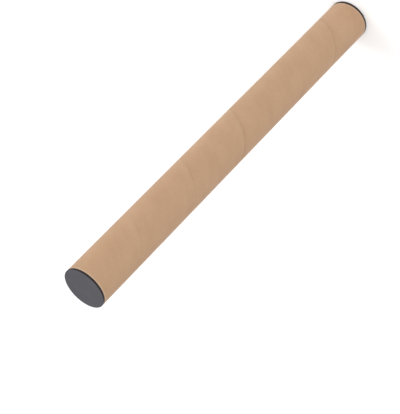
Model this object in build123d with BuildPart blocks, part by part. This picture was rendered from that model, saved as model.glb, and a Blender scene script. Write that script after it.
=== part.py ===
"""A spiral-wound cardboard mailing tube, stood on its end, closed by two push-in plastic caps.

Millimetres, +Z up along the tube's axis. The origin is the centre of the lower cap's outer face.
"""

import os

from build123d import *

# Wound board tube
tube_outer_diameter = 50.0
tube_length = 500.0
tube_wall = 1.5
cut_edge_break = 0.2  # corners of the cut board, rubbed down a little

# Outer ply of the winding: its edges butt along a spiral and leave a hairline gap
seam_pitch = 93.0  # how far the seam climbs in one turn, which is a ply about 80 wide
seam_start_angle = 124.0  # degrees round from +X, at the tube's lower end
ply_thickness = 0.3
ply_gap = 0.4

# End cap: a flat flange that closes the tube, and a hollow plug that grips inside it
flange_thickness = 2.4
flange_setback = 0.1  # how far the flange stays inside the tube's outer face
flange_edge_bevel = 0.6
web_thickness = 1.6
web_corner_bevel = 1.0
plug_depth = 16.0
plug_wall = 1.3
plug_clearance = 0.45  # bare skirt to the tube's inner face, beside the flange
plug_taper = 0.4  # how much the skirt's radius narrows over its depth

# Crush ribs on the plug, which are what holds the cap in the board
rib_count = 16
rib_width = 1.2
rib_clearance = 0.05
rib_lead_in = 4.0

# How far a cutting shape runs past what it cuts
overrun = 2.0

# Radii and heights that follow from the sizes above
tube_radius = tube_outer_diameter / 2
bore_radius = tube_radius - tube_wall
flange_radius = tube_radius - flange_setback
plug_radius = bore_radius - plug_clearance
plug_end_radius = plug_radius - plug_taper
rib_radius = bore_radius - rib_clearance
plug_end = flange_thickness + plug_depth
tube_bottom = flange_thickness
tube_top = tube_bottom + tube_length
overall_length = tube_top + flange_thickness

# The angle that the seam turns through in the overrun
seam_overrun_turn = 360 * overrun / seam_pitch

# Path of the seam: a left-hand helix on the tube's face, from below its lower end to above its upper end
with BuildLine(Plane.XY.rotated((0, 0, seam_start_angle + seam_overrun_turn))) as seam_path:
    Helix(
        pitch=seam_pitch,
        height=tube_length + 2 * overrun,
        radius=tube_radius,
        center=(0, 0, tube_bottom - overrun),
        lefthand=True,
    )

# The tube: the wound wall, its cut edges broken, and the gap along the outer ply's seam
with BuildPart() as wound_tube:
    with BuildSketch(Plane.XY.offset(tube_bottom)) as wall_ring:
        Circle(tube_radius)
        Circle(bore_radius, mode=Mode.SUBTRACT)
    extrude(amount=tube_length)
    chamfer(wound_tube.edges().filter_by(GeomType.CIRCLE), length=cut_edge_break)

    seam_start = seam_path.line @ 0
    outward = Vector(seam_start.X, seam_start.Y, 0)
    with BuildSketch(Plane(seam_start, x_dir=outward, z_dir=seam_path.line % 0)) as gap_section:
        Rectangle(2 * ply_thickness, ply_gap)
    sweep(path=seam_path.line, is_frenet=True, mode=Mode.SUBTRACT)
wound_tube.part.label = "wound_tube"

# Crush ribs: bars round the skirt, trimmed to the bore's size and sloped off at the plug's open end
with BuildPart() as crush_ribs:
    rib_root_radius = plug_end_radius - plug_wall / 2
    rib_length = rib_radius + overrun - rib_root_radius
    with BuildSketch(Plane.XY.offset(flange_thickness)) as rib_ring:
        with PolarLocations(rib_root_radius + rib_length / 2, rib_count):
            Rectangle(rib_length, rib_width)
    extrude(amount=plug_depth)
    with BuildSketch(Plane.XZ) as rib_envelope:
        Polygon(
            (0, flange_thickness),
            (rib_radius, flange_thickness),
            (rib_radius, plug_end - rib_lead_in),
            (plug_end_radius, plug_end),
            (0, plug_end),
            align=None,
        )
    revolve(axis=Axis.Z, mode=Mode.INTERSECT)

# One moulded cap, lying with its flat face down: flange, web and tapered skirt in one profile
with BuildPart() as moulded_cap:
    with BuildSketch(Plane.XZ) as cap_profile:
        Polygon(
            (0, 0),
            (flange_radius, 0),
            (flange_radius, flange_thickness),
            (plug_radius, flange_thickness),
            (plug_end_radius, plug_end),
            (plug_end_radius - plug_wall, plug_end),
            (plug_radius - plug_wall, web_thickness),
            (0, web_thickness),
            align=None,
        )
    revolve(axis=Axis.Z)
    rings = moulded_cap.edges().filter_by(GeomType.CIRCLE)
    face_rim = rings.sort_by(Axis.Z)[0]
    cavity_rings = rings.sort_by(SortBy.RADIUS)[:2]
    web_corner = cavity_rings.sort_by(Axis.Z)[0]
    chamfer(face_rim, length=flange_edge_bevel)
    chamfer(web_corner, length=web_corner_bevel)
    add(crush_ribs.part)

# The same cap closes both ends: as it lies below the tube, and turned over above it
with BuildPart() as bottom_end_cap:
    add(moulded_cap.part)
bottom_end_cap.part.label = "bottom_end_cap"

with BuildPart() as top_end_cap:
    with Locations(Location((0, 0, overall_length), (180, 0, 0))):
        add(moulded_cap.part)
top_end_cap.part.label = "top_end_cap"

os.makedirs("parts", exist_ok=True)
for piece in (wound_tube, bottom_end_cap, top_end_cap):
    export_step(piece.part, f"parts/{piece.part.label}.step")

print(f"overall length {overall_length:.1f}, outside diameter {tube_outer_diameter:.1f}")
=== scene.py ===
import math

import bmesh
import bpy
import numpy as np
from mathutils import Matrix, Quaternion, Vector


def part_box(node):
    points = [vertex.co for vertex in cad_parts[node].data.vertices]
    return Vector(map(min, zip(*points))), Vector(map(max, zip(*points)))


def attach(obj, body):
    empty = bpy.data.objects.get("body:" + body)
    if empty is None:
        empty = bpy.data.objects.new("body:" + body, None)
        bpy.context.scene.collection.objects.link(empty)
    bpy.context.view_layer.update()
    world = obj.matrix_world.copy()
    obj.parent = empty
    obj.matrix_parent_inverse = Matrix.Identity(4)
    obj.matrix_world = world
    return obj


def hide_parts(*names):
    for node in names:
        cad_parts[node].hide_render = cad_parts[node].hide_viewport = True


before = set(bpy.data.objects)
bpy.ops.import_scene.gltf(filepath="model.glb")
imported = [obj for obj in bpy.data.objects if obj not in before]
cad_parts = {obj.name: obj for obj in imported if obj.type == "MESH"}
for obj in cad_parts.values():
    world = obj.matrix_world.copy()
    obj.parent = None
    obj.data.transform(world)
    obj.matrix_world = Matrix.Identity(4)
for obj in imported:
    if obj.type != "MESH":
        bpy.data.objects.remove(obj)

mm = 0.001
mergeDistance = 0.002 * mm           # points nearer than this become one
scene = bpy.context.scene
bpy.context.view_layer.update()                 # the solids' own box
tubeLow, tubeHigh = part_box("wound_tube")
capLow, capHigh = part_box("top_end_cap")
topFace = capHigh.z
print("frame:", ", ".join(sorted(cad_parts)))


def linear(hexColour):
    # sRGB hex to the linear colour that sockets hold: the standard curve, a line below 0.04045
    srgb = np.array([int(hexColour[i:i + 2], 16) for i in (1, 3, 5)]) / 255
    return (*np.where(srgb <= 0.04045, srgb / 12.92, ((srgb + 0.055) / 1.055) ** 2.4), 1.0)


def addNode(tree, kind, inputs=None, **settings):
    # a node with its settings; an input is a value, or another node's output to link
    node = tree.nodes.new("ShaderNode" + kind)
    for name, value in settings.items():
        setattr(node, name, value)
    for socket, value in (inputs or {}).items():
        if isinstance(value, bpy.types.NodeSocket):
            tree.links.new(value, node.inputs[socket])
        else:
            node.inputs[socket].default_value = value
    return node


def startMaterial(name):
    material = bpy.data.materials.new(name)
    material.use_nodes = True
    material.node_tree.nodes.clear()
    return material, material.node_tree


def corners(grid):
    # a grid's values at the four corners of each of its faces, counter-clockwise seen from outside
    return np.stack([grid[:-1, :-1], grid[:-1, 1:], grid[1:, 1:], grid[1:, :-1]], axis=2)


def gridPiece(name, points, finishRows, finishes, sharpAngle, plyMap=None, shades=None):
    # a piece from one grid of points: its closing column and its poles are merged, and edges that turn by
    # more than the sharp angle stay crisp
    rows, columns = points.shape[:2]
    quads = corners(np.arange(rows * columns).reshape(rows, columns)).reshape(-1, 4)
    mesh = bpy.data.meshes.new(name)
    mesh.from_pydata(points.reshape(-1, 3).tolist(), [], quads.tolist())
    mesh.polygons.foreach_set("material_index", np.repeat(finishRows, columns - 1).astype(np.int32))
    for shade, values in (shades or {}).items():
        layer = mesh.attributes.new(shade, "FLOAT", "POINT")
        layer.data.foreach_set("value", values.astype(np.float32).ravel())
    if plyMap is not None:
        layer = mesh.uv_layers.new(name="plyMap")
        layer.data.foreach_set("uv", plyMap.astype(np.float32).ravel())
    work = bmesh.new()
    work.from_mesh(mesh)
    bmesh.ops.remove_doubles(work, verts=work.verts, dist=mergeDistance)
    work.to_mesh(mesh)
    work.free()
    for finish in finishes:
        mesh.materials.append(finish)
    mesh.polygons.foreach_set("use_smooth", np.ones(len(mesh.polygons), dtype=bool))
    mesh.set_sharp_from_angle(angle=math.radians(sharpAngle))
    piece = bpy.data.objects.new(name, mesh)
    scene.collection.objects.link(piece)
    print(f"{name}: {len(mesh.vertices)} points, {len(mesh.polygons)} faces")
    return piece


# Kraft liner: long softwood fibres, dried on a drum and glued down under tension. The eye gets a warm matt
# tan, faintly cloudy, with hair-fine fibres that run along the ply.
kraftLook = {
    "base": "#BE9A7B",
    "cloudDark": "#A98463",
    "cloudPale": "#D2AF8E",
    "shive": "#86623F",
    # painted shade in the seam's gap
    "gap": "#5F4029",
    # darker band beside the gap: glue stain, with painted shade along the seam
    "stainAndShade": "#8E6A48",
    # pale colour: wear at the handled ends, and painted highlight on the open seam's upper edge
    "rubbed": "#D9C1A8",
    "rubbedEnd": (0.5, 2.2 * mm),    # how pale the handled ends are, and how far that reaches
    # size along the ply and across it, turn in radians, and share of the colour's change; the fibres are
    # drawn about six times as wide as real ones, to show
    "clouds": {"along": 34 * mm, "across": 20 * mm, "turn": 0.0, "share": 0.36},
    "streaks": {"along": 90 * mm, "across": 1.8 * mm, "turn": 0.0, "share": 0.10},
    "fibres": {"along": 3.2 * mm, "across": 0.22 * mm, "turn": 0.25, "share": 0.5},
    "crossFibres": {"along": 2.6 * mm, "across": 0.22 * mm, "turn": -0.4, "share": 0.5},
    "noiseDetail": 3,
    "noiseRoughness": 0.55,
    "shives": {"along": 1.7 * mm, "across": 0.5 * mm},   # specks of bark
    "shiveDetail": 1,
    "shiveLevels": (0.7, 0.8),       # noise levels where a speck begins, and where it is full
    "shiveShade": 0.45,
    "tooth": 0.35 * mm,              # the felt's mark, also coarser than it is
    "bump": (0.4, 0.04 * mm),        # strength and height
    "roughness": 0.66,
    "glossRange": 0.08,              # the pale clouds are smoother, and the dark ones rougher
    "ior": 1.45,
    "specular": 0.22,
    "sheen": 0.05,
    "sheenRoughness": 0.5,
}


def woundKraftLiner(name, look):
    material, tree = startMaterial(name)
    ply = addNode(tree, "UVMap", uv_map="plyMap").outputs["UV"]
    onPly = {shade: addNode(tree, "Attribute", attribute_name=shade).outputs["Fac"]
             for shade in ("fromEnd", "seamStainAndShade", "rubbed", "seamGap")}
    # the noises add up about the middle of the ramp, which is the base colour
    mixed = ("clouds", "streaks", "fibres", "crossFibres")
    mottle = 0.5 - sum(look[pattern]["share"] for pattern in mixed) / 2
    noises = {}
    for pattern in mixed:
        mark = look[pattern]
        place = addNode(tree, "Mapping", {
            "Vector": ply, "Rotation": (0, 0, mark["turn"]), "Scale": (mark["along"], mark["across"], 1)},
            vector_type="TEXTURE")
        noises[pattern] = addNode(tree, "TexNoise", {
            "Vector": place.outputs[0], "Scale": 1, "Detail": look["noiseDetail"],
            "Roughness": look["noiseRoughness"]}).outputs["Fac"]
        mottle = addNode(tree, "Math", {
            0: noises[pattern], 1: mark["share"], 2: mottle}, operation="MULTIPLY_ADD").outputs[0]
    ramp = addNode(tree, "ValToRGB", {"Fac": mottle})
    ramp.color_ramp.elements[0].color = linear(look["cloudDark"])
    ramp.color_ramp.elements[1].color = linear(look["cloudPale"])
    ramp.color_ramp.elements.new(0.5).color = linear(look["base"])
    speck = look["shives"]
    place = addNode(tree, "Mapping", {
        "Vector": ply, "Scale": (speck["along"], speck["across"], 1)}, vector_type="TEXTURE")
    shives = addNode(tree, "TexNoise", {
        "Vector": place.outputs[0], "Scale": 1, "Detail": look["shiveDetail"]})
    shiveStart, shiveFull = look["shiveLevels"]
    shiveMask = addNode(tree, "MapRange", {
        "Value": shives.outputs["Fac"], "From Min": shiveStart, "From Max": shiveFull,
        "To Max": look["shiveShade"]})
    endShare, endReach = look["rubbedEnd"]
    endMask = addNode(tree, "MapRange", {
        "Value": onPly["fromEnd"], "From Max": endReach, "To Min": endShare, "To Max": 0},
        interpolation_type="SMOOTHSTEP")
    # the gap's colour is painted shade, the band beside it glue stain with painted shade, and the pale seam
    # edge a painted highlight; the pale ends are wear
    tints = (
        (shiveMask.outputs[0], "shive"), (endMask.outputs[0], "rubbed"), (onPly["seamStainAndShade"], "stainAndShade"),
        (onPly["rubbed"], "rubbed"), (onPly["seamGap"], "gap"))
    colour = ramp.outputs["Color"]
    for mask, tint in tints:
        colour = addNode(tree, "MixRGB", {
            "Fac": mask, "Color1": colour, "Color2": linear(look[tint])}).outputs["Color"]
    tooth = addNode(tree, "TexNoise", {
        "Vector": addNode(tree, "TexCoord").outputs["Object"], "Scale": 1 / look["tooth"]})
    relief = addNode(tree, "Math", {0: tooth.outputs["Fac"], 1: noises["fibres"]}, operation="ADD")
    strength, height = look["bump"]
    bump = addNode(tree, "Bump", {"Height": relief.outputs[0], "Strength": strength, "Distance": height})
    gloss = addNode(tree, "MapRange", {
        "Value": noises["clouds"], "To Min": look["roughness"] + look["glossRange"],
        "To Max": look["roughness"] - look["glossRange"]})
    shader = addNode(tree, "BsdfPrincipled", {
        "Base Color": colour, "Roughness": gloss.outputs[0], "IOR": look["ior"],
        "Specular IOR Level": look["specular"], "Sheen Weight": look["sheen"],
        "Sheen Roughness": look["sheenRoughness"], "Normal": bump.outputs["Normal"]})
    addNode(tree, "OutputMaterial", {"Surface": shader.outputs[0]})
    return material


# The innermost ply is recycled liner: greyer, with darker specks
greyLook = {
    **kraftLook, "base": "#AD967C", "cloudDark": "#97806A", "cloudPale": "#C0AB92", "shive": "#5E4C3C"}

# Cut end of the board: a knife has gone through the plies, so pale paper edges alternate with glue lines
cutLook = {
    "paper": "#CDB497",
    "glue": "#94745A",
    "ply": 0.3 * mm,
    "wander": 0.35,                  # how far a glue line strays, as a share of a ply
    "glueFrom": 0.5,                 # the level of the plies' wave above which there is glue
    "glueShade": 0.75,
    "fuzz": 0.4 * mm,                # torn fibres, drawn coarser than they are, to show
    "fuzzDetail": 3,
    "bump": (0.5, 0.08 * mm),        # strength and height
    "roughness": 0.85,
    "specular": 0.2,
}


def knifeCutBoard(name, look):
    # rings about the tube's axis: a sine of the distance from it, which noise leads astray
    material, tree = startMaterial(name)
    place = addNode(tree, "TexCoord").outputs["Object"]
    flat = addNode(tree, "VectorMath", {0: place, 1: (1, 1, 0)}, operation="MULTIPLY")
    radius = addNode(tree, "VectorMath", {0: flat.outputs[0]}, operation="LENGTH")
    fuzz = addNode(tree, "TexNoise", {
        "Vector": place, "Scale": 1 / look["fuzz"], "Detail": look["fuzzDetail"]})
    astray = addNode(tree, "Math", {
        0: fuzz.outputs["Fac"], 1: look["wander"] * look["ply"], 2: radius.outputs["Value"]},
        operation="MULTIPLY_ADD")
    phase = addNode(tree, "Math", {0: astray.outputs[0], 1: 2 * math.pi / look["ply"]}, operation="MULTIPLY")
    wave = addNode(tree, "Math", {0: phase.outputs[0]}, operation="SINE")
    glueMask = addNode(tree, "MapRange", {
        "Value": wave.outputs[0], "From Min": look["glueFrom"], "To Max": look["glueShade"]})
    colour = addNode(tree, "MixRGB", {
        "Fac": glueMask.outputs[0], "Color1": linear(look["paper"]), "Color2": linear(look["glue"])})
    strength, height = look["bump"]
    bump = addNode(tree, "Bump", {"Height": fuzz.outputs["Fac"], "Strength": strength, "Distance": height})
    shader = addNode(tree, "BsdfPrincipled", {
        "Base Color": colour.outputs["Color"], "Roughness": look["roughness"],
        "Specular IOR Level": look["specular"], "Normal": bump.outputs["Normal"]})
    addNode(tree, "OutputMaterial", {"Surface": shader.outputs[0]})
    return material


# Tube: plies wound on a left-hand spiral. The outer ply's edges butt with a hairline gap.
woundTube = {
    "wall": 1.5 * mm,
    "plies": 5,
    "cutEdge": 0.2 * mm,             # rounding of the cut board's corners
    "plySpring": 0.04 * mm,          # how far the cut dips in the middle of each ply
    "outOfSquare": 1.8 * mm,         # how far the lower end's cut climbs, so that the plug shows there
    "cutClimbsTo": 25,               # degrees round from +X
    "rubbedSeam": (0.22, 5 * mm),    # painted highlight on the open seam's curled upper edge: how strong, and how far it reaches
    "gapShade": 0.28,                # how dark the painted shade in the gap is
    # how dark the band beside the gap is: glue stain with painted shade
    "stainAndShadeStrength": 0.19,
    "outer": {
        "pitch": 93 * mm,
        "seamHeight": 243.5 * mm,    # where the seam crosses the side that faces -Y
        "gap": 0.4 * mm,
        "depth": 0.3 * mm,
        "curl": 0.09 * mm,           # how far the ply's upper edge lifts
        "curlWidth": 3.5 * mm,
        "stainAndShadeWidth": 2.8 * mm,       # the paper beside the gap is darker: glue stain, with painted shade along the seam
        "closed": 0.14,              # how open the gap is where the edges butt well
        "opens": ((243 * mm, 0.44), (57 * mm, 0.32)),    # heights where it opens, and by how much
        "openReach": 58 * mm,
        "uneven": 0.35,
        "unevenWaves": (31 * mm, 18 * mm),
    },
    "inner": {
        "pitch": 88 * mm,
        "seamHeight": 218 * mm,
        "gap": 0.8 * mm,
        "depth": 0.3 * mm,
        "curl": 0.05 * mm,
        "curlWidth": 2 * mm,
        "stainAndShadeWidth": 2.5 * mm,
        "closed": 0.7,
        "opens": ((470 * mm, 0.3), (40 * mm, 0.3)),
        "openReach": 60 * mm,
        "uneven": 0.2,
        "unevenWaves": (31 * mm, 18 * mm),
    },
    "gapWall": (0.85, 1.1),          # where the gap's wall starts and ends, as shares of half the gap
    "lowerLift": 0.35,               # how much of the curl the lower edge and a closed seam have
    "closedLift": 0.25,
    "columns": 192,
    "gapRows": (0, 0.8, 1.0, 1.2),   # rows of points across half the gap, as shares of it
    "stripFrom": 2,                  # the strip's own rows start this many gaps from the seam
    "stripRows": 11,                 # and there are this many to its middle
    "cornerPoints": 5,
    "pointsPerPly": 4,
    "sharpAngle": 40,                # degrees
}


def seamRelief(spec, ply, offset, z):
    # From the signed distance to the seam, and the height, how far the ply is sunk: a flat-floored gap with
    # sloping walls, between edges that curl up, the upper one more, and die away exponentially. How open the
    # seam is varies as a bell curve round each place where it opens, times a product of two sines. The gap's
    # colour is painted shade. The darker band beside it, glue stain with painted shade, is a bell curve
    # across the seam, and the painted highlight on its upper edge dies away exponentially.
    isOpen = ply["closed"] + sum(
        more * np.exp(-((z - place) / ply["openReach"]) ** 2) for place, more in ply["opens"])
    waves = np.prod([np.sin(2 * math.pi * z / wave) for wave in ply["unevenWaves"]], axis=0)
    isOpen = isOpen * (1 + ply["uneven"] * waves)
    inGap = np.interp(np.abs(offset) / (ply["gap"] / 2), spec["gapWall"], (1, 0)) * isOpen
    upperSide = np.clip(offset / ply["gap"] + 0.5, 0, 1)  # from 0 below the gap to 1 above it
    lift = spec["lowerLift"] + (1 - spec["lowerLift"]) * upperSide
    lift = np.minimum(lift * (spec["closedLift"] + isOpen), 1) * np.exp(-np.abs(offset) / ply["curlWidth"])
    share, reach = spec["rubbedSeam"]
    return {
        "sunk": ply["depth"] * np.minimum(inGap, 1) + ply["curl"] * (1 - lift),
        "gap": spec["gapShade"] * inGap,
        "stainAndShade": spec["stainAndShadeStrength"] * isOpen * np.exp(-(offset / ply["stainAndShadeWidth"]) ** 2),
        "rubbed": share * isOpen * upperSide * np.exp(-np.abs(offset) / reach),
    }


def woundPly(spec, ply, drumRadius, low, high, theta, outward):
    # A strip wound on a drum. A row follows the seam: its height falls by one pitch in a turn, and is clipped
    # at the cut ends. The radius is the drum's, sunk by the relief at that distance from the nearest seam.
    climb = math.atan2(ply["pitch"], 2 * math.pi * drumRadius)
    stripWidth = ply["pitch"] * math.cos(climb)
    edge = ply["gap"] / 2 * np.array(spec["gapRows"])
    toMiddle = np.geomspace(spec["stripFrom"] * ply["gap"], stripWidth / 2, spec["stripRows"])
    half = np.concatenate([edge, toMiddle])
    across = np.concatenate([-half[-2:0:-1], half]) / math.cos(climb)
    # the seam's turns, with spare ones past both ends, which the clip folds away
    firstTurn = math.floor((np.min(low) - ply["seamHeight"]) / ply["pitch"]) - 1
    lastTurn = math.ceil((high - ply["seamHeight"]) / ply["pitch"]) + 2
    rise = (np.arange(firstTurn, lastTurn)[:, None] * ply["pitch"] + across).ravel()
    turned = theta - theta[0]
    drop = ply["pitch"] * turned / (2 * math.pi)
    z = np.clip(ply["seamHeight"] + rise[:, None] - drop, low, high)
    turns = (z + drop - ply["seamHeight"]) / ply["pitch"]
    offset = (turns - np.round(turns)) * stripWidth
    relief = seamRelief(spec, ply, offset, z)
    # the strip laid flat again: each turn starts one circumference along and one width across
    strip = np.floor((rise[:-1] + rise[1:]) / 2 / ply["pitch"])
    strip = np.append(strip, strip[-1])
    oneTurn = 2 * math.pi * drumRadius * math.cos(climb)
    return {
        **relief,
        "radius": drumRadius - outward * relief["sunk"],
        "z": z,
        "along": drumRadius * turned * math.cos(climb) - z * math.sin(climb),
        "across": drumRadius * turned * math.sin(climb) + z * math.cos(climb),
        "stripStart": np.stack([strip * oneTurn, strip * stripWidth], axis=1),
    }


def cutEnd(spec, outer, inner, end, up):
    # The cut board from its outer rim to its inner one: a quarter round at each corner, and between them a
    # squared sine that dips once in each ply. It faces up or, with up = -1, down.
    edge, plies = spec["cutEdge"], spec["plies"]
    turn = np.linspace(0, math.pi / 2, spec["cornerPoints"])[1:]
    flat = np.linspace(0, 1, spec["pointsPerPly"] * plies + 1)[1:-1]
    inset = edge * np.concatenate([1 - np.cos(turn), np.ones_like(flat), 1 - np.cos(turn[::-1])])[:, None]
    across = np.concatenate([np.zeros_like(turn), flat, np.ones_like(turn)])[:, None]
    spring = spec["plySpring"] * np.sin(math.pi * plies * flat) ** 2
    dip = np.concatenate([edge * (1 - np.sin(turn)), spring, edge * (1 - np.sin(turn[::-1]))])[:, None]
    radius = (outer - inset) * (1 - across) + (inner + inset) * across
    return radius, np.broadcast_to(end - up * dip, radius.shape)


def buildTube(spec, low, high, outerRadius):
    # One closed grid: up the outer skin, over the upper cut end, down the inner skin, and back out below. The
    # lower cut lies in a plane that leans, so that its height is a cosine of the angle.
    theta = np.linspace(-math.pi / 2, 1.5 * math.pi, spec["columns"] + 1)
    low = low + spec["outOfSquare"] * (1 + np.cos(theta - math.radians(spec["cutClimbsTo"]))) / 2
    skinLow, skinHigh = low + spec["cutEdge"], high - spec["cutEdge"]
    innerRadius = outerRadius - spec["wall"]
    outer = woundPly(spec, spec["outer"], outerRadius, skinLow, skinHigh, theta, outward=1)
    inner = woundPly(spec, spec["inner"], innerRadius, skinLow, skinHigh, theta, outward=-1)
    # the inner skin's rows turn round, and each face keeps its strip
    inner = {key: value[::-1] for key, value in inner.items()}
    inner["stripStart"] = np.roll(inner["stripStart"], -1, axis=0)
    topRadius, topZ = cutEnd(spec, outer["radius"][-1], inner["radius"][0], high, up=1)
    lowRadius, lowZ = cutEnd(spec, outer["radius"][0], inner["radius"][-1], low, up=-1)
    cuts = {"radius": (topRadius, lowRadius[::-1]), "z": (topZ, lowZ[::-1])}
    bare = np.zeros_like(topRadius)  # the cut board has no seam and no ply map
    grid = {}
    for key in ("radius", "z", "gap", "stainAndShade", "rubbed", "along", "across"):
        top, bottom = cuts.get(key, (bare, bare))
        grid[key] = np.concatenate([outer[key], top, inner[key], bottom, outer[key][:1]])
    radius, z = grid["radius"], grid["z"]
    points = np.stack([radius * np.cos(theta), radius * np.sin(theta), z], axis=2)
    noStrip = np.zeros((len(bare), 2))
    stripStart = np.concatenate([outer["stripStart"], noStrip, inner["stripStart"], noStrip])
    plyMap = corners(np.stack([grid["along"], grid["across"]], axis=2)) - stripStart[:, None, None, :]
    # attributes for the gap's painted shade, the band of glue stain with painted shade, and the wear and
    # painted highlight
    shades = {
        "seamGap": grid["gap"],
        "seamStainAndShade": grid["stainAndShade"],
        "rubbed": grid["rubbed"],
        "fromEnd": np.minimum(z - low, high - z),
    }
    finishes = [
        woundKraftLiner("woundKraftLiner", kraftLook),
        knifeCutBoard("knifeCutBoard", cutLook),
        woundKraftLiner("woundRecycledLiner", greyLook),
    ]
    cutRows = len(bare) + 1
    finishRows = np.repeat([0, 1, 2, 1], [len(outer["z"]) - 1, cutRows, len(inner["z"]) - 1, cutRows])
    return gridPiece("kraft_tube", points, finishRows, finishes, spec["sharpAngle"], plyMap, shades)


tube = buildTube(woundTube, tubeLow.z, tubeHigh.z, (tubeHigh.x - tubeLow.x) / 2)
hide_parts("wound_tube")
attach(tube, "tube")


# Low-density polyethylene, injection-moulded. The pigment flows unevenly with the melt, so the eye gets a
# dark grey whose tone drifts a little.
mouldLook = {
    "ior": 1.51,
    "flow": 12 * mm,                 # size of the patches that the flow leaves
    "flowLevels": (0.3, 0.7),        # noise levels of the darkest and the palest patches
    "toneRange": 0.06,
    "glossRange": 0.08,
    "grainDetail": 3,
    "grainRoughness": 0.6,
    "grainHeight": 0.05 * mm,
}
# The face comes off an eroded mould wall, with a fine even texture. Its colour is the dark plastic with
# painted sheen, so that it reads as mid grey. The grain here and on the sides is drawn coarser than it is, to
# show.
faceLook = {
    **mouldLook, "colour": "#47464C", "roughness": 0.55, "specular": 0.22, "grain": 0.6 * mm, "texture": 0.35}
# The flange's edge and the plug come off polished steel, so the black of the plastic shows.
sideLook = {
    **mouldLook, "colour": "#292224", "roughness": 0.48, "specular": 0.15, "grain": 0.9 * mm, "texture": 0.1}


def mouldedPolyethylene(name, look):
    material, tree = startMaterial(name)
    place = addNode(tree, "TexCoord").outputs["Object"]
    grain = addNode(tree, "TexNoise", {
        "Vector": place, "Scale": 1 / look["grain"], "Detail": look["grainDetail"],
        "Roughness": look["grainRoughness"]})
    flow = addNode(tree, "TexNoise", {"Vector": place, "Scale": 1 / look["flow"]})
    darkest, palest = look["flowLevels"]
    tone = addNode(tree, "MapRange", {
        "Value": flow.outputs["Fac"], "From Min": darkest, "From Max": palest,
        "To Min": 1 - look["toneRange"], "To Max": 1 + look["toneRange"]})
    colour = addNode(tree, "HueSaturation", {"Color": linear(look["colour"]), "Value": tone.outputs[0]})
    gloss = addNode(tree, "MapRange", {
        "Value": grain.outputs["Fac"], "To Min": look["roughness"] - look["glossRange"],
        "To Max": look["roughness"] + look["glossRange"]})
    bump = addNode(tree, "Bump", {
        "Height": grain.outputs["Fac"], "Strength": look["texture"], "Distance": look["grainHeight"]})
    shader = addNode(tree, "BsdfPrincipled", {
        "Base Color": colour.outputs["Color"], "Roughness": gloss.outputs[0], "IOR": look["ior"],
        "Specular IOR Level": look["specular"], "Normal": bump.outputs["Normal"]})
    addNode(tree, "OutputMaterial", {"Surface": shader.outputs[0]})
    return material


# End cap: flange, web and ribbed plug in one moulding, drawn with its face down at height zero
endCap = {
    "flange": 2.4 * mm,
    "rimRound": 0.45 * mm,
    "backRound": 0.2 * mm,
    "dish": 0.1 * mm,                # the face sinks a little as it cools
    "web": 1.6 * mm,
    "webRound": 1.0 * mm,
    "plugRadius": 23.05 * mm,
    "plugTaper": 0.4 * mm,
    "plugWall": 1.3 * mm,
    "ribs": 16,
    "ribRadius": 23.45 * mm,
    "ribWidth": 1.2 * mm,
    "ribLeadIn": 4.0 * mm,
    "ribFoot": 1.15,                 # a rib's width at its foot, as a share of its width
    "ribClear": 2,                   # columns between ribs start this many half widths from a rib's middle
    "betweenRibs": 7,
    "flangeRow": 0.3 * mm,           # a row of points this far from the flange keeps its corner crisp
    "cornerPoints": 7,
    "facePoints": 12,
    "skirtPoints": 6,
    "leadInPoints": 5,
    "borePoints": 5,
    "webPoints": 8,
    "sharpAngle": 35,                # degrees
}


def capSection(spec, rimRadius, depth):
    # Half section, from the middle of the face round to the middle of the web: straight runs with quarter
    # rounds at the corners, and a face that is a shallow parabola. With each point goes how far a rib stands
    # off the skirt there, and with each run its finish, where the face's reaches half-way round the rim.
    quarter = np.linspace(0, math.pi / 2, spec["cornerPoints"])
    rim, back, flange = spec["rimRound"], spec["backRound"], spec["flange"]
    web, webRound = spec["web"], spec["webRound"]
    ribEnd = depth - spec["ribLeadIn"]
    faceR = np.linspace(0, rimRadius - rim, spec["facePoints"])
    faceZ = spec["dish"] * (1 - (faceR / faceR[-1]) ** 2)
    rimR = rimRadius - rim + rim * np.sin(quarter)
    rimZ = rim - rim * np.cos(quarter)
    backR = rimRadius - back + back * np.cos(quarter)
    backZ = flange - back + back * np.sin(quarter)
    skirtZ = np.concatenate([
        [flange], np.linspace(flange + spec["flangeRow"], ribEnd, spec["skirtPoints"]),
        np.linspace(ribEnd, depth, spec["leadInPoints"])[1:]])
    down = (skirtZ - flange) / (depth - flange)
    skirtR = spec["plugRadius"] - spec["plugTaper"] * down
    leadIn = np.clip((depth - skirtZ) / spec["ribLeadIn"], 0, 1)
    ribStand = (spec["ribRadius"] - skirtR) * leadIn
    endRadius = spec["plugRadius"] - spec["plugTaper"]
    boreR = np.linspace(endRadius, spec["plugRadius"], spec["borePoints"]) - spec["plugWall"]
    boreZ = np.linspace(depth, web + webRound, spec["borePoints"])
    webR = boreR[-1] - webRound + webRound * np.cos(quarter)
    webZ = web + webRound - webRound * np.sin(quarter)
    innerR = np.linspace(webR[-1], 0, spec["webPoints"])[1:]
    innerZ = np.full_like(innerR, web)
    r = np.concatenate([faceR, rimR[1:], backR, skirtR, boreR, webR[1:], innerR])
    z = np.concatenate([faceZ, rimZ[1:], backZ, skirtZ, boreZ, webZ[1:], innerZ])
    skirtStart = len(faceR) + len(rimR) - 1 + len(backR)
    stand = np.zeros_like(r)
    stand[skirtStart:skirtStart + len(skirtR)] = ribStand
    faceRows = len(faceR) + spec["cornerPoints"] // 2
    finishRows = np.where(np.arange(len(r) - 1) < faceRows, 0, 1)
    return r, z, stand, finishRows


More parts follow.
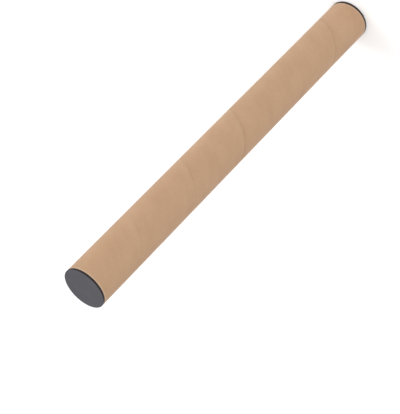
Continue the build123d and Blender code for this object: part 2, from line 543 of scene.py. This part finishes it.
def ribColumns(spec):
    # angles round the cap, and how much of a rib stands at each: columns crowd at each rib's two sides
    side = spec["ribWidth"] / 2 / spec["plugRadius"]
    pitch = 2 * math.pi / spec["ribs"]
    foot, clear = spec["ribFoot"], side * spec["ribClear"]
    between = np.linspace(clear, pitch - clear, spec["betweenRibs"])
    oneRib = np.concatenate([side * np.array([-foot, -1, 0, 1, foot]), between])
    isRib = np.concatenate([[0, 1, 1, 1, 0], np.zeros_like(between)])
    theta = (np.arange(spec["ribs"])[:, None] * pitch + oneRib).ravel()
    return np.append(theta, theta[0] + 2 * math.pi), np.append(np.tile(isRib, spec["ribs"]), isRib[0])


def buildCap(name, spec, rimRadius, depth, finishes, topOf):
    # the section carried round the axis; a cap for the upper end is turned over about X
    r, z, stand, finishRows = capSection(spec, rimRadius, depth)
    theta, isRib = ribColumns(spec)
    radius = r[:, None] + stand[:, None] * isRib
    height = np.broadcast_to(z[:, None], radius.shape)
    points = np.stack([radius * np.cos(theta), radius * np.sin(theta), height], axis=2)
    if topOf is not None:
        points = points * (1, -1, -1) + (0, 0, topOf)
    return gridPiece(name, points, finishRows, finishes, spec["sharpAngle"])


caps = {
    "lower_cap": {"node": "bottom_end_cap", "body": "bottom_cap", "topOf": None},
    "upper_cap": {"node": "top_end_cap", "body": "top_cap", "topOf": topFace},
}
capFinishes = [
    # the face's colour holds painted sheen, lighter than the true black of the polished sides
    mouldedPolyethylene("texturedPolyethyleneWithPaintedSheen", faceLook),
    mouldedPolyethylene("polishedPolyethylene", sideLook),
]
capRadius = (capHigh.x - capLow.x) / 2
capDepth = capHigh.z - capLow.z
for capName, end in caps.items():
    cap = buildCap(capName, endCap, capRadius, capDepth, capFinishes, end["topOf"])
    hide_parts(end["node"])
    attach(cap, end["body"])


# Studio: a white sweep, lit by large soft boxes. The camera sees it as white, with the tube's shadow; far
# from the tube the sweep has light of its own, so that it stays white to the horizon.
studio = {
    "white": "#FFFFFF",
    "floorSize": 60.0,
    "floorColour": "#E7E7E7",
    "cardColour": "#FAFAFA",         # a whiter card under the tube throws light back at its foot
    "cardFades": (0.05, 0.16),       # from and to this far from the tube's axis, in metres
    "sweepGlow": 0.5,
    "glowFrom": 0.7,
    "glowFull": 3.5,
    "sky": 0.52,
    "seenSky": 1.0,                  # what the camera sees of it is white
}
softBoxes = {
    "keyBox": {"at": (1.7, 0.3, 1.1), "size": 1.5, "power": 17},
    "frontBox": {"at": (-0.5, -2.0, 1.2), "size": 1.6, "power": 17},
    "topBox": {"at": (0.1, 0.0, 2.2), "size": 1.6, "power": 16},
    "backBox": {"at": (-0.9, 1.7, 1.2), "size": 1.5, "power": 11},
}


def whiteSweep(look):
    material, tree = startMaterial("whiteSweep")
    path = addNode(tree, "LightPath")
    seen = path.outputs["Is Camera Ray"]
    for ray in ("Is Glossy Ray", "Is Transmission Ray"):
        seen = addNode(tree, "Math", {0: seen, 1: path.outputs[ray]}, operation="MAXIMUM").outputs[0]
    place = addNode(tree, "TexCoord").outputs["Object"]
    away = addNode(tree, "VectorMath", {0: place}, operation="LENGTH").outputs["Value"]
    glow = addNode(tree, "MapRange", {
        "Value": away, "From Min": look["glowFrom"], "From Max": look["glowFull"],
        "To Max": look["sweepGlow"]}, interpolation_type="SMOOTHSTEP")
    cardFull, cardEnd = look["cardFades"]
    onCard = addNode(tree, "MapRange", {
        "Value": away, "From Min": cardFull, "From Max": cardEnd, "To Min": 1, "To Max": 0},
        interpolation_type="SMOOTHSTEP")
    shade = addNode(tree, "MixRGB", {
        "Fac": onCard.outputs[0], "Color1": linear(look["floorColour"]),
        "Color2": linear(look["cardColour"])})
    paint = addNode(tree, "BsdfDiffuse", {"Color": shade.outputs["Color"]})
    white = addNode(tree, "BsdfDiffuse", {"Color": linear(look["white"])})
    light = addNode(tree, "Emission", {"Strength": glow.outputs[0]})
    lit = addNode(tree, "AddShader", {0: white.outputs[0], 1: light.outputs[0]})
    shader = addNode(tree, "MixShader", {"Fac": seen, 1: paint.outputs[0], 2: lit.outputs[0]})
    addNode(tree, "OutputMaterial", {"Surface": shader.outputs[0]})
    return material


def laySweep(look):
    half = look["floorSize"] / 2
    mesh = bpy.data.meshes.new("sweep")
    floorCorners = [(-half, -half, 0), (half, -half, 0), (half, half, 0), (-half, half, 0)]
    mesh.from_pydata(floorCorners, [], [(0, 1, 2, 3)])
    mesh.materials.append(whiteSweep(look))
    sweep = bpy.data.objects.new("sweep", mesh)
    scene.collection.objects.link(sweep)


def hangSoftBoxes(boxes, aim):
    for name, box in boxes.items():
        lamp = bpy.data.lights.new(name, "AREA")
        lamp.size = box["size"]
        lamp.energy = box["power"]
        holder = bpy.data.objects.new(name, lamp)
        holder.location = box["at"]
        holder.rotation_euler = (aim - Vector(box["at"])).to_track_quat("-Z", "Y").to_euler()
        scene.collection.objects.link(holder)
    print("soft boxes:", ", ".join(boxes))


def lightSky(look):
    world = bpy.data.worlds.new("studioSky")
    world.use_nodes = True
    tree = world.node_tree
    tree.nodes.clear()
    path = addNode(tree, "LightPath")
    strength = addNode(tree, "MapRange", {
        "Value": path.outputs["Is Camera Ray"], "To Min": look["sky"], "To Max": look["seenSky"]})
    sky = addNode(tree, "Background", {"Color": linear(look["white"]), "Strength": strength.outputs[0]})
    addNode(tree, "OutputWorld", {"Surface": sky.outputs[0]})
    scene.world = world


laySweep(studio)
hangSoftBoxes(softBoxes, Vector((0, 0, topFace / 2)))
lightSky(studio)
scene.view_settings.view_transform = "Standard"


# Camera: the photograph's long lens, above the tube's upper end and rolled so that it runs to lower left
viewpoint = {
    "focalPixels": 1384.4,
    "framePixels": 414,              # the frame's longer side
    "sensorWidth": 36,               # millimetres, as the lens is
    "at": (0, -1.2388, 1.1364),
    "aim": (-0.0272, -0.0006, 0.3390),
    "roll": -136.22,                 # degrees
}


def buildCamera(spec):
    lens = bpy.data.cameras.new("photoLens")
    lens.sensor_width = spec["sensorWidth"]
    lens.lens = spec["focalPixels"] / spec["framePixels"] * spec["sensorWidth"]
    camera = bpy.data.objects.new("photoCamera", lens)
    camera.location = spec["at"]
    look = (Vector(spec["aim"]) - Vector(spec["at"])).to_track_quat("-Z", "Y")
    camera.rotation_mode = "QUATERNION"
    camera.rotation_quaternion = look @ Quaternion((0, 0, 1), math.radians(spec["roll"]))
    scene.collection.objects.link(camera)
    scene.camera = camera
    print(f"camera: {lens.lens:.1f} mm lens")


buildCamera(viewpoint)
